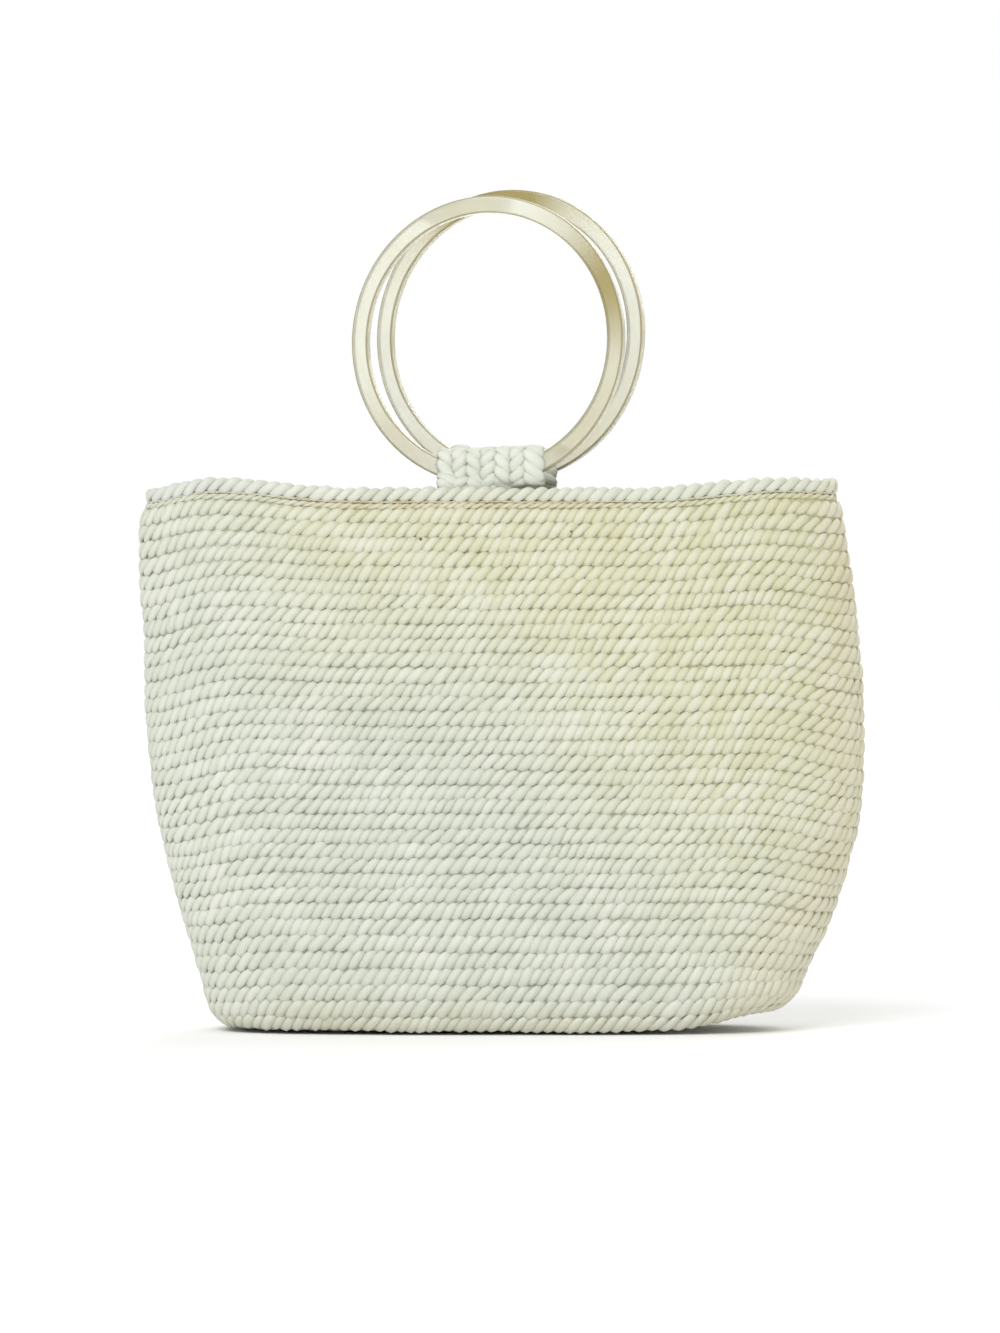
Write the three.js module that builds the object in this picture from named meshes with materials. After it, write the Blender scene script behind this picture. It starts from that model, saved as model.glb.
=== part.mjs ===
import * as THREE from 'three';

// Sizes in millimetres. X runs along the width, Y from the front (-) to the back (+), Z up from the foot.
const rimHeight = 252;
const ropeThick = 6.6;
const wallThick = 6.3;
const floorThick = 6.5;
const grooveDepth = 1.4;
const fitGap = 0.35;

// The coil is wound a little looser over the lowest rows.
const lowerRows = 8;
const lowerPitch = 7.5;
const upperRows = 27;
const seamTall = 2.8;
const seamInset = 1.3;
const bodyTop = rimHeight - ropeThick - fitGap;
const rowsTop = bodyTop - seamTall;

// Reaches of the crests of the rows at each height, measured from the middle of the photo's outline.
const bodyProfile = [
  { height: 0, left: 121, right: 120, depth: 39, power: 3.1 },
  { height: 3.5, left: 129.5, right: 127.5, depth: 43, power: 3.1 },
  { height: 8, left: 133, right: 132, depth: 45.5, power: 3.1 },
  { height: 14, left: 135.5, right: 135.5, depth: 47, power: 3.1 },
  { height: 30, left: 139.5, right: 141, depth: 48, power: 3 },
  { height: 52, left: 146, right: 150, depth: 48, power: 2.9 },
  { height: 80, left: 153, right: 159, depth: 47, power: 2.8 },
  { height: 107, left: 159, right: 165, depth: 45.5, power: 2.7 },
  { height: 135, left: 162.5, right: 167, depth: 43.5, power: 2.6 },
  { height: 162, left: 164.5, right: 166.5, depth: 41, power: 2.55 },
  { height: 190, left: 165, right: 164, depth: 37.5, power: 2.5 },
  { height: 218, left: 167, right: 160.5, depth: 33.8, power: 2.45 },
  { height: 234, left: 167, right: 157.5, depth: 31.6, power: 2.4 },
  { height: 247, left: 163.5, right: 154, depth: 30, power: 2.4 },
];

// The rows hang lower at the two ends than on the broad faces.
const endDroop = [
  { height: 0, fall: 0 },
  { height: 20, fall: 2.5 },
  { height: 60, fall: 6 },
  { height: 125, fall: 9 },
  { height: 200, fall: 6.5 },
  { height: 252, fall: 0.8 },
];
const droopStart = 0.62;
const rimSag = 4.2;
const shoulderLift = 2.4;
const shoulderAt = 0.82;

// The right-hand corner of the foot turns up off the ground.
const cornerLift = 7;
const cornerStart = 0.55;
const cornerFade = 60;
const flatShare = 0.62;
const wallSegments = 44;
const innerSteps = 10;

const ringBand = 7.8;
const ringDeep = 5;
const ringEdge = 1.1;
const ringSegments = 48;

const tabWidth = 46;
const tabColumns = 7;
const strapThick = 3.4;
const strapBulge = 0.5;
const legLength = 24;

// Where each handle stands: the ring's outer radius, turn and middle, and the middle of its tab.
const degree = Math.PI / 180;
const handles = [
  {
    side: 'front',
    face: -1,
    ringOuter: 66,
    ringTurn: 20 * degree,
    ringX: -6.6,
    ringY: -16.6,
    ringZ: 315.3,
    tabX: -5.2,
  },
  {
    side: 'back',
    face: 1,
    ringOuter: 67.5,
    ringTurn: 24.5 * degree,
    ringX: 3.6,
    ringY: 16.6,
    ringZ: 319.6,
    tabX: 0.8,
  },
];

const object = new THREE.Group();
object.name = 'coiled_rope_handbag';

function addMesh(name, geometry, color, extra = {}) {
  const material = new THREE.MeshStandardMaterial({ color, roughness: 0.8, metalness: 0, ...extra });
  const mesh = new THREE.Mesh(geometry, material);
  mesh.name = name;
  object.add(mesh);
}

// Smooth curve through a column of a table, with no overshoot between its rows.
function readTable(table, column, height) {
  const last = table.length - 1;
  if (height <= table[0].height) return table[0][column];
  if (height >= table[last].height) return table[last][column];
  let row = 0;
  while (height > table[row + 1].height) row += 1;
  const slopeOf = (i) => (table[i + 1][column] - table[i][column]) / (table[i + 1].height - table[i].height);
  const tangentAt = (i) => {
    if (i === 0) return slopeOf(0);
    if (i === last) return slopeOf(last - 1);
    const before = slopeOf(i - 1);
    const after = slopeOf(i);
    return before * after <= 0 ? 0 : (2 * before * after) / (before + after);
  };
  const span = table[row + 1].height - table[row].height;
  const t = (height - table[row].height) / span;
  const rise = t * t * (3 - 2 * t);
  const bend = t * (1 - t);
  const from = table[row][column];
  const to = table[row + 1][column];
  const lean = (1 - t) * tangentAt(row) - t * tangentAt(row + 1);
  return from + (to - from) * rise + span * bend * lean;
}

const smoothStep = (from, to, value) => {
  const t = Math.min(1, Math.max(0, (value - from) / (to - from)));
  return t * t * (3 - 2 * t);
};

// How far a row at this height is lifted or lowered, by how far out along the width it is.
function rowShift(out, right, height) {
  const share = (height / rimHeight) ** 2;
  const belly = -rimSag + (rimSag + shoulderLift) * smoothStep(0.05, shoulderAt, out);
  const fall = readTable(endDroop, 'fall', height) * smoothStep(droopStart, 1, out) ** 1.6;
  const fade = Math.max(0, 1 - height / cornerFade) ** 2;
  const corner = right ? cornerLift * smoothStep(cornerStart, 1, out) * fade : 0;
  return share * belly - fall + corner;
}

// A point of the wall at this turn round the bag and this height, moved in by inset.
function wallPoint(turn, height, inset) {
  const power = readTable(bodyProfile, 'power', height);
  const side = Math.cos(turn) < 0 ? 'left' : 'right';
  const reach = readTable(bodyProfile, side, height) - inset;
  const depth = readTable(bodyProfile, 'depth', height) - inset;
  const out = Math.abs(Math.cos(turn)) ** (2 / power);
  const x = Math.sign(Math.cos(turn)) * reach * out;
  const y = Math.sign(Math.sin(turn)) * depth * Math.abs(Math.sin(turn)) ** (2 / power);
  const z = height + rowShift(out, Math.cos(turn) > 0, height);
  return new THREE.Vector3(x, y, z);
}

function wallRing(height, inset, lift = 0) {
  const ring = [];
  for (let i = 0; i < wallSegments; i += 1) {
    const point = wallPoint((i / wallSegments) * Math.PI * 2, height, inset);
    point.z += lift;
    ring.push(point);
  }
  return ring;
}

// Skin over rows of points. A closed skin joins the last row to the first, and others end in a middle point.
function skin(rows, { closed = false, start = null, end = null } = {}) {
  const around = rows[0].length;
  const positions = [];
  rows.forEach((row) => row.forEach((p) => positions.push(p.x, p.y, p.z)));
  const index = [];
  const bands = closed ? rows.length : rows.length - 1;
  for (let r = 0; r < bands; r += 1) {
    const next = (r + 1) % rows.length;
    for (let i = 0; i < around; i += 1) {
      const j = (i + 1) % around;
      const a = r * around + i;
      const b = r * around + j;
      const c = next * around + j;
      const d = next * around + i;
      index.push(a, b, c, a, c, d);
    }
  }
  if (start) {
    const tip = positions.length / 3;
    positions.push(start.x, start.y, start.z);
    for (let i = 0; i < around; i += 1) index.push(tip, (i + 1) % around, i);
  }
  if (end) {
    const tip = positions.length / 3;
    const base = (rows.length - 1) * around;
    positions.push(end.x, end.y, end.z);
    for (let i = 0; i < around; i += 1) index.push(tip, base + i, base + ((i + 1) % around));
  }
  return solidFrom(positions, index);
}

// Faces are turned so that the solid faces out.
function solidFrom(positions, index) {
  let volume = 0;
  const a = new THREE.Vector3();
  const b = new THREE.Vector3();
  const c = new THREE.Vector3();
  for (let i = 0; i < index.length; i += 3) {
    a.fromArray(positions, index[i] * 3);
    b.fromArray(positions, index[i + 1] * 3);
    c.fromArray(positions, index[i + 2] * 3);
    volume += a.dot(b.cross(c));
  }
  if (volume < 0) {
    for (let i = 0; i < index.length; i += 3) {
      const kept = index[i + 1];
      index[i + 1] = index[i + 2];
      index[i + 2] = kept;
    }
  }
  const geometry = new THREE.BufferGeometry();
  geometry.setAttribute('position', new THREE.Float32BufferAttribute(positions, 3));
  geometry.setIndex(index);
  geometry.computeVertexNormals();
  return geometry;
}

// Bag body: rows of rope as ribs outside, smooth inside, with a flat foot and a floor.
const rowEdges = [];
for (let r = 0; r <= lowerRows; r += 1) rowEdges.push(r * lowerPitch);
const upperPitch = (rowsTop - lowerRows * lowerPitch) / upperRows;
for (let r = 1; r <= upperRows; r += 1) rowEdges.push(lowerRows * lowerPitch + r * upperPitch);

const bodyRings = [wallRing(0, 0).map((p) => new THREE.Vector3(p.x * flatShare, p.y * flatShare, 0))];
rowEdges.forEach((edge, r) => {
  bodyRings.push(wallRing(edge, r === 0 ? 0 : grooveDepth));
  if (r < rowEdges.length - 1) bodyRings.push(wallRing((edge + rowEdges[r + 1]) / 2, 0));
});
bodyRings.push(wallRing(rowsTop + seamTall * 0.5, seamInset * 0.6));
bodyRings.push(wallRing(bodyTop, seamInset));
for (let s = 0; s <= innerSteps; s += 1) {
  const height = bodyTop + (floorThick + 3 - bodyTop) * (s / innerSteps);
  bodyRings.push(wallRing(height, wallThick));
}
const floorEdge = wallRing(floorThick, wallThick + 6);
bodyRings.push(floorEdge);
bodyRings.push(floorEdge.map((p) => new THREE.Vector3(p.x * flatShare, p.y * flatShare, floorThick)));
const footMiddle = new THREE.Vector3(0, 0, 0);
const floorMiddle = new THREE.Vector3(0, 0, floorThick);
addMesh('bag_body', skin(bodyRings, { start: footMiddle, end: floorMiddle }), 0xe6dfca);

// Rim coil: one thicker row of rope laid on top of the seam.
const rimSides = 8;
const rimRings = [];
for (let i = 0; i < wallSegments; i += 1) {
  const turn = (i / wallSegments) * Math.PI * 2;
  const low = rimHeight - ropeThick;
  const foot = wallPoint(turn, bodyTop, ropeThick / 2);
  const crest = wallPoint(turn, bodyTop, 0);
  const away = new THREE.Vector3(crest.x - foot.x, crest.y - foot.y, 0);
  const section = [];
  for (let k = 0; k < rimSides; k += 1) {
    const angle = ((k + 0.5) / rimSides) * Math.PI * 2;
    const stretch = 1 / Math.cos(Math.PI / rimSides);
    const point = foot.clone().addScaledVector(away, Math.cos(angle) * stretch);
    point.z += low - bodyTop + (ropeThick / 2) * (1 + Math.sin(angle) * stretch);
    section.push(point);
  }
  rimRings.push(section);
}
addMesh('rim_coil', skin(rimRings, { closed: true }), 0xefece0);

// Ring handle: a flat band with rounded edges, stood upright and turned a little about the upright axis.
function ringGeometry({ ringOuter, ringTurn, ringX, ringY, ringZ }) {
  const inner = ringOuter - ringBand;
  const half = ringDeep / 2;
  const section = [
    { r: inner, q: -half + ringEdge },
    { r: inner + ringEdge, q: -half },
    { r: ringOuter - ringEdge, q: -half },
    { r: ringOuter, q: -half + ringEdge },
    { r: ringOuter, q: half - ringEdge },
    { r: ringOuter - ringEdge, q: half },
    { r: inner + ringEdge, q: half },
    { r: inner, q: half - ringEdge },
  ];
  const rows = [];
  for (let i = 0; i < ringSegments; i += 1) {
    const angle = (i / ringSegments) * Math.PI * 2;
    rows.push(section.map(({ r, q }) => new THREE.Vector3(
      ringX + r * Math.cos(angle) * Math.cos(ringTurn) + q * Math.sin(ringTurn),
      ringY - r * Math.cos(angle) * Math.sin(ringTurn) + q * Math.cos(ringTurn),
      ringZ + r * Math.sin(angle),
    )));
  }
  return skin(rows, { closed: true });
}

// Tab: columns of rope side by side, folded over the foot of the ring, with both legs down inside the wall.
// Above the rim the fold twists to follow the turned ring.
function tabGeometry({ face, ringOuter, ringTurn, ringX, ringY, ringZ, tabX }) {
  const inner = ringOuter - ringBand;
  const slack = fitGap + 0.2;
  const sweep = (ringDeep / 2) * Math.tan(ringTurn);
  const slotHalf = (ringDeep / 2 + fitGap) / Math.cos(ringTurn);
  const reach = slotHalf + strapThick;
  const rimTop = rimHeight - rimSag;
  const legFoot = rimTop - legLength;
  const legFront = readTable(bodyProfile, 'depth', bodyTop) - ropeThick - fitGap;
  const legBack = legFront - strapThick * 2;
  const neck = rimTop + 1.4;
  const along = (x) => Math.abs(x - ringX) / Math.cos(ringTurn);
  const ringInside = (x) => ringZ - Math.sqrt(inner ** 2 - (along(x) + sweep) ** 2);
  const ringOutside = (x) => ringZ - Math.sqrt(ringOuter ** 2 - Math.max(0, along(x) - sweep) ** 2);
  const leftX = tabX - tabWidth / 2;
  const rightX = tabX + tabWidth / 2;

  // One cut across the tab. Out is measured from the bag's middle plane towards the tab's own side.
  const cutAt = (x, bulge) => {
    const share = (x - leftX) / tabWidth;
    const slotTop = ringInside(leftX) * (1 - share) + ringInside(rightX) * share + slack;
    const slotFoot = ringOutside(x) - slack;
    const mid = Math.abs(ringY) - face * (x - ringX) * Math.tan(ringTurn);
    const top = slotTop + strapThick;
    const frontNeck = Math.max(slotFoot - 2, neck + 0.5);
    const backNeck = mid - slotHalf - 0.8;
    const outline = [
      { out: legBack, z: legFoot },
      { out: legFront, z: legFoot },
      { out: legFront, z: neck },
      { out: Math.max(legFront, mid + slotHalf + 0.8), z: frontNeck },
      { out: mid + reach + bulge, z: slotFoot + 2.4 },
      { out: mid + reach + bulge, z: slotTop - 2.5 },
      { out: mid + reach - 1.2 + bulge * 0.7, z: top - 1.4 + bulge * 0.7 },
      { out: mid + reach - 4.2, z: top + bulge },
      { out: mid - reach + 4.2, z: top + bulge },
      { out: mid - reach + 1.2 - bulge * 0.7, z: top - 1.4 + bulge * 0.7 },
      { out: mid - reach - bulge, z: slotTop - 2.5 },
      { out: mid - reach - bulge, z: slotFoot + 2.4 },
      { out: backNeck, z: slotFoot - 2 },
      { out: legBack, z: slotFoot - 2 - Math.max(3, Math.abs(legBack - backNeck) * 0.6) },
    ];
    const slot = [
      { out: mid + slotHalf - 1.2, z: slotFoot },
      { out: mid + slotHalf, z: slotFoot + 1.2 },
      { out: mid + slotHalf, z: slotTop - 1.2 },
      { out: mid + slotHalf - 1.2, z: slotTop },
      { out: mid - slotHalf + 1.2, z: slotTop },
      { out: mid - slotHalf, z: slotTop - 1.2 },
      { out: mid - slotHalf, z: slotFoot + 1.2 },
      { out: mid - slotHalf + 1.2, z: slotFoot },
    ];
    return { outline, slot };
  };

  const steps = tabColumns * 2;
  const positions = [];
  const cuts = [];
  for (let s = 0; s <= steps; s += 1) {
    const x = leftX + tabWidth * (s / steps);
    const cut = cutAt(x, s % 2 === 1 ? strapBulge : 0);
    cuts.push(cut);
    [...cut.outline, ...cut.slot].forEach(({ out, z }) => positions.push(x, face * out, z));
  }
  const outer = cuts[0].outline.length;
  const ring = outer + cuts[0].slot.length;
  const index = [];
  const wind = (first, count, forward) => {
    for (let s = 0; s < steps; s += 1) {
      for (let k = 0; k < count; k += 1) {
        const j = (k + 1) % count;
        const a = s * ring + first + k;
        const b = s * ring + first + j;
        const c = (s + 1) * ring + first + j;
        const d = (s + 1) * ring + first + k;
        if (forward) index.push(a, b, c, a, c, d);
        else index.push(a, c, b, a, d, c);
      }
    }
  };
  const flat = (points) => points.map(({ out, z }) => new THREE.Vector2(out, z));
  const contourArea = THREE.ShapeUtils.area(flat(cuts[0].outline));
  const slotArea = THREE.ShapeUtils.area(flat(cuts[0].slot));
  wind(0, outer, true);
  wind(outer, ring - outer, contourArea * slotArea < 0);
  const capAt = (s, forward) => {
    const contour = flat(cuts[s].outline);
    const hole = flat(cuts[s].slot);
    const points = [...contour, ...hole];
    THREE.ShapeUtils.triangulateShape(contour, [hole]).forEach(([a, b, c]) => {
      const same = THREE.ShapeUtils.area([points[a], points[b], points[c]]) * contourArea > 0;
      const base = s * ring;
      if (same === forward) index.push(base + a, base + b, base + c);
      else index.push(base + a, base + c, base + b);
    });
  };
  capAt(0, false);
  capAt(steps, true);
  return solidFrom(positions, index);
}

handles.forEach((handle) => {
  addMesh(`ring_${handle.side}`, ringGeometry(handle), 0xdcd9c0, { roughness: 0.2 });
  addMesh(`tab_${handle.side}`, tabGeometry(handle), 0xe9e9e1);
});

export default object;
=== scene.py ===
import math

import bpy
import numpy as np
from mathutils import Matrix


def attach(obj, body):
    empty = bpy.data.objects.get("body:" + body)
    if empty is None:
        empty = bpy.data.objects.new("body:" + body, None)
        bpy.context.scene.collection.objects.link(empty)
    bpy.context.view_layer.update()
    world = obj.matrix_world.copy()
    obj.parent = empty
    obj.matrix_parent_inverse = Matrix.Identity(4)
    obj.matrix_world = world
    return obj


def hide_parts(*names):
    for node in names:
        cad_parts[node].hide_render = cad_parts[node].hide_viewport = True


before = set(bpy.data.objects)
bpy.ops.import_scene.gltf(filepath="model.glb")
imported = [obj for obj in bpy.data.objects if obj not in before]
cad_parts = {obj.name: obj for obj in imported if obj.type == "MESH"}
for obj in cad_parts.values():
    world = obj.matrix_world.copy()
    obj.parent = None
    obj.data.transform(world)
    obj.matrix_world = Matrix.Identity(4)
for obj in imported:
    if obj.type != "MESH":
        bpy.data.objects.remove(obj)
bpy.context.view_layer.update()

mm = 0.001
print("frame loaded:", ", ".join(sorted(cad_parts)))

# the bag's form in millimetres, as its solid has it,
# but for a flatter rim and a left end that hangs lower
bagForm = {
    "rimHeight": 252.0,
    "ropeThick": 6.6,
    "fitGap": 0.35,
    "seamTall": 2.8,
    "lowerRows": 8,
    "lowerPitch": 7.5,
    "upperRows": 27,
    "droopStart": 0.62,  # this and the like are shares of the way out to an end
    "droopCurve": 1.6,
    "rimSag": 4.2,
    "shoulderLift": 2.4,
    "sagReach": 0.4,
    "shoulderAt": 0.93,
    "cornerLift": 7.0,
    "cornerStart": 0.55,
    "cornerFade": 60.0,
    "flatShare": 0.62,  # how much of the floor lies flat
    "profile": {
        "height": (0, 3.5, 8, 14, 30, 52, 80, 107, 135, 162, 190, 218, 234, 247),
        "left": (121, 129.5, 133, 135.5, 139.5, 146, 153, 159, 162.5, 164.5, 165, 167, 167, 163.5),
        "right": (120, 127.5, 132, 135.5, 141, 150, 159, 165, 167, 166.5, 164, 160.5, 157.5, 154),
        "depth": (39, 43, 45.5, 47, 48, 48, 47, 45.5, 43.5, 41, 37.5, 33.8, 31.6, 30),
        "power": (3.1, 3.1, 3.1, 3.1, 3, 2.9, 2.8, 2.7, 2.6, 2.55, 2.5, 2.45, 2.4, 2.4),
    },
    "droop": {
        "height": (0, 20, 60, 125, 200, 252),
        "fall": (0, 2.5, 6, 9, 6.5, 0.8),
        "leftFall": (0, 0, 0, 1, 3.2, 4.6),
    },
    "leftStart": 0.74,
    "leftCurve": 2,
}
bodyTop = bagForm["rimHeight"] - bagForm["ropeThick"] - bagForm["fitGap"]
rowsTop = bodyTop - bagForm["seamTall"]


def smoothStep(low, high, value):
    t = np.clip((value - low) / (high - low), 0.0, 1.0)
    return t * t * (3 - 2 * t)


def readTable(table, column, height):
    # smooth curve through one column, with no overshoot between its rows
    at = np.asarray(table["height"], float)
    val = np.asarray(table[column], float)
    slope = np.diff(val) / np.diff(at)
    lean = np.empty_like(val)
    lean[0] = slope[0]
    lean[-1] = slope[-1]
    both = slope[:-1] * slope[1:]
    total = slope[:-1] + slope[1:]
    lean[1:-1] = np.where(both <= 0, 0.0, 2 * both / np.where(total == 0, 1.0, total))
    h = np.clip(np.asarray(height, float), at[0], at[-1])
    row = np.clip(np.searchsorted(at, h, side="right") - 1, 0, len(at) - 2)
    span = at[row + 1] - at[row]
    t = (h - at[row]) / span
    rise = t * t * (3 - 2 * t)
    bend = t * (1 - t) * ((1 - t) * lean[row] - t * lean[row + 1])
    return val[row] + (val[row + 1] - val[row]) * rise + span * bend


def wallPoint(turn, height, inset):
    # a point of the wall at this turn round the bag, in millimetres
    form = bagForm
    turn = np.asarray(turn, float)
    height = np.broadcast_to(np.asarray(height, float), turn.shape)
    power = readTable(form["profile"], "power", height)
    left = readTable(form["profile"], "left", height)
    right = readTable(form["profile"], "right", height)
    reach = np.where(np.cos(turn) < 0, left, right) - inset
    depth = readTable(form["profile"], "depth", height) - inset
    out = np.abs(np.cos(turn)) ** (2 / power)
    x = np.sign(np.cos(turn)) * reach * out
    y = np.sign(np.sin(turn)) * depth * np.abs(np.sin(turn)) ** (2 / power)
    sag = form["rimSag"]
    nearShoulder = smoothStep(form["sagReach"], form["shoulderAt"], out)
    belly = -sag + (sag + form["shoulderLift"]) * nearShoulder
    nearEnd = smoothStep(form["droopStart"], 1.0, out) ** form["droopCurve"]
    fall = readTable(form["droop"], "fall", height) * nearEnd
    nearLeft = smoothStep(form["leftStart"], 1.0, out) ** form["leftCurve"]
    hang = readTable(form["droop"], "leftFall", height) * nearLeft
    fall = fall + np.where(np.cos(turn) < 0, hang, 0.0)
    z = height + (height / form["rimHeight"]) ** 2 * belly - fall + cornerRise(turn, out, height)
    return np.stack([x, y, z], axis=-1)


def cornerRise(turn, out, height):
    # the right-hand corner of the foot turns up off the ground
    fade = np.maximum(0.0, 1 - height / bagForm["cornerFade"]) ** 2
    lift = bagForm["cornerLift"] * smoothStep(bagForm["cornerStart"], 1.0, out) * fade
    return np.where(np.cos(turn) > 0, lift, 0.0)


def unit(v):
    return v / np.maximum(np.linalg.norm(v, axis=-1, keepdims=True), 1e-12)


def wander(length, spacing, seed):
    # slow random drift along a rope, about -1 to 1
    rng = np.random.default_rng(seed)
    count = max(4, int(length[-1] / spacing) + 3)
    knots = rng.uniform(-1, 1, count)
    at = length / spacing
    i = np.clip(at.astype(int), 0, count - 2)
    f = at - i
    f = f * f * (3 - 2 * f)
    return knots[i] * (1 - f) + knots[i + 1] * f


def lengthAlong(points):
    gap = np.linalg.norm(np.diff(points, axis=0), axis=1)
    return np.concatenate([[0], np.cumsum(gap)])


def evenly(points, extra, step):
    # the same line again with points a step apart; extra columns follow along
    length = lengthAlong(points)
    count = max(8, int(round(length[-1] / step)))
    at = np.linspace(0, length[-1], count + 1)
    line = np.stack([np.interp(at, length, points[:, k]) for k in range(3)], axis=-1)
    more = [np.interp(at, length, e) for e in extra]
    return line, more


# what all ropes share; a run says over how many lays a drift goes on
ropeLay = {
    "layRun": 2.1,
    "coilRun": 1.3,
    "strandRun": 0.8,
    "tints": 4096,
    "fibreRun": 6 * mm,
    "fibreShift": 50,
}


def twistRope(path, out, spec, seed):
    # strands laid round a path, where out points away from the wall
    # gives one grid of points for each strand
    tangent = unit(np.gradient(path, axis=0))
    normal = unit(out - tangent * np.sum(out * tangent, axis=1, keepdims=True))
    across = np.cross(tangent, normal)
    gap = np.linalg.norm(np.diff(path, axis=0), axis=1)
    length = lengthAlong(path)
    usual = spec["lay"]
    lay = usual * (1 + spec["layDrift"] * wander(length, usual * ropeLay["layRun"], seed))
    spin = -spec["hand"] * 2 * math.pi * np.concatenate([[0], np.cumsum(gap / lay[1:])])
    sides = spec["sides"]
    around = np.arange(sides) / sides * 2 * math.pi
    grids = []
    for k in range(spec["strands"]):
        phase = spin + 2 * math.pi * k / spec["strands"] + spec.get("start", 0.0)
        coilWander = wander(length, usual * ropeLay["coilRun"], seed + 11 + k)
        coil = spec["coil"] * (1 + spec["coilDrift"] * coilWander)
        strandWander = wander(length, usual * ropeLay["strandRun"], seed + 31 + k)
        thick = spec["strand"] * (1 + spec["strandDrift"] * strandWander)
        away = np.cos(phase)[:, None] * normal + np.sin(phase)[:, None] * across
        centre = path + away * coil[:, None]
        ahead = unit(np.gradient(centre, axis=0))
        crest = unit(away - ahead * np.sum(away * ahead, axis=1, keepdims=True))
        flank = np.cross(ahead, crest)
        ring = np.cos(around)[None, :, None] * crest[:, None, :]
        ring = ring + np.sin(around)[None, :, None] * flank[:, None, :]
        grid = centre[:, None, :] + thick[:, None, None] * ring
        # the strand is pressed against the wall and its neighbours
        high = np.sum((grid - path[:, None, :]) * normal[:, None, :], axis=2, keepdims=True)
        wide = np.sum((grid - path[:, None, :]) * across[:, None, :], axis=2, keepdims=True)
        flat = high * spec["squeezeOut"]
        flat = np.where(flat > 0, spec["knee"] * np.tanh(flat / spec["knee"]), flat)
        grid = grid + normal[:, None, :] * (flat - high)
        grid = grid - across[:, None, :] * wide * (1 - spec["squeezeUp"])
        # one tint for each grain, and a map that runs along the fibres
        rng = np.random.default_rng(seed + 71 + k)
        tints = rng.uniform(0, 1, ropeLay["tints"])
        grain = tints[np.round(phase / (2 * math.pi)).astype(int) % len(tints)]
        shift = rng.uniform(0, ropeLay["fibreShift"])
        fibre = np.empty(grid.shape)
        fibre[..., 0] = (length / ropeLay["fibreRun"])[:, None] + shift
        fibre[..., 1] = np.cos(around)[None, :]
        fibre[..., 2] = np.sin(around)[None, :]
        grain = np.repeat(grain[:, None], sides, axis=1)
        grids.append({"points": grid, "fibre": fibre, "grain": grain})
    return grids


def cutGrids(grids, first, last):
    part = []
    for g in grids:
        part.append({key: value[first:last + 1] for key, value in g.items()})
    return part


# how a rope's map is cut into long strips
ropeMap = {"shortest": 24, "stripShare": 0.8, "margin": 0.04, "capDown": 0.3}


def ropePiece(name, grids, material):
    # joins strand grids into one mesh, each strand a closed tube
    verts, fibre, grain, quads, caps, uvs, capUvs = [], [], [], [], [], [], []
    base = 0
    run = 0
    total = sum(g["points"].shape[0] for g in grids)
    sides = grids[0]["points"].shape[1]
    strip = max(ropeMap["shortest"], int(math.sqrt(total * sides) * ropeMap["stripShare"]))
    bands = math.ceil(total / strip) + len(grids)
    margin = ropeMap["margin"]
    inside = 1 - 2 * margin
    for g in grids:
        n, m = g["points"].shape[:2]
        verts.append(g["points"].reshape(-1, 3))
        fibre.append(g["fibre"].reshape(-1, 3))
        grain.append(g["grain"].reshape(-1))
        i, j = np.meshgrid(np.arange(n - 1), np.arange(m), indexing="ij")
        nextJ = (j + 1) % m
        below = i * m
        above = (i + 1) * m
        quad = np.stack([below + j, above + j, above + nextJ, below + nextJ], axis=-1)
        quads.append(quad.reshape(-1, 4) + base)
        place = run + i
        band = place // strip
        u0 = (place % strip) / strip
        u1 = u0 + 1 / strip
        v0 = (band + margin + inside * j / m) / bands
        v1 = (band + margin + inside * (j + 1) / m) / bands
        corner = np.stack([u0, v0, u1, v0, u1, v1, u0, v1], axis=-1)
        uvs.append(corner.reshape(-1, 2))
        caps.append(np.arange(m)[None, :] + base)
        caps.append((base + (n - 1) * m + np.arange(m))[::-1][None, :])
        capUvs.append(np.full((2 * m, 2), 1 - ropeMap["capDown"] / bands))
        base += n * m
        run += strip * math.ceil((n - 1) / strip) if n - 1 > strip else n - 1
    quads = np.concatenate(quads)
    caps = np.concatenate(caps)
    loops = np.concatenate([quads.ravel(), caps.ravel()]).astype(np.int32)
    starts = np.concatenate([
        np.arange(len(quads)) * 4,
        len(quads) * 4 + np.arange(len(caps)) * caps.shape[1],
    ]).astype(np.int32)
    uv = np.concatenate([np.concatenate(uvs), np.concatenate(capUvs)])
    return meshPiece(name, np.concatenate(verts), loops, starts, material, uv=uv,
                     fibre=np.concatenate(fibre), grain=np.concatenate(grain))


def meshPiece(name, verts, loops, starts, material, uv=None, fibre=None, grain=None):
    mesh = bpy.data.meshes.new(name)
    mesh.vertices.add(len(verts))
    mesh.vertices.foreach_set("co", np.ascontiguousarray(verts, np.float32).ravel())
    mesh.loops.add(len(loops))
    mesh.loops.foreach_set("vertex_index", loops)
    mesh.polygons.add(len(starts))
    mesh.polygons.foreach_set("loop_start", starts)
    mesh.update(calc_edges=True)
    mesh.polygons.foreach_set("use_smooth", np.ones(len(starts), bool))
    if uv is not None:
        layer = mesh.uv_layers.new(name="ropeMap")
        layer.data.foreach_set("uv", np.ascontiguousarray(uv, np.float32).ravel())
    if fibre is not None:
        layer = mesh.attributes.new("fibre", "FLOAT_VECTOR", "POINT")
        layer.data.foreach_set("vector", np.ascontiguousarray(fibre, np.float32).ravel())
    if grain is not None:
        layer = mesh.attributes.new("grain", "FLOAT", "POINT")
        layer.data.foreach_set("value", np.ascontiguousarray(grain, np.float32))
    mesh.validate()
    piece = bpy.data.objects.new(name, mesh)
    bpy.context.scene.collection.objects.link(piece)
    mesh.materials.append(material)
    return piece


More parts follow.
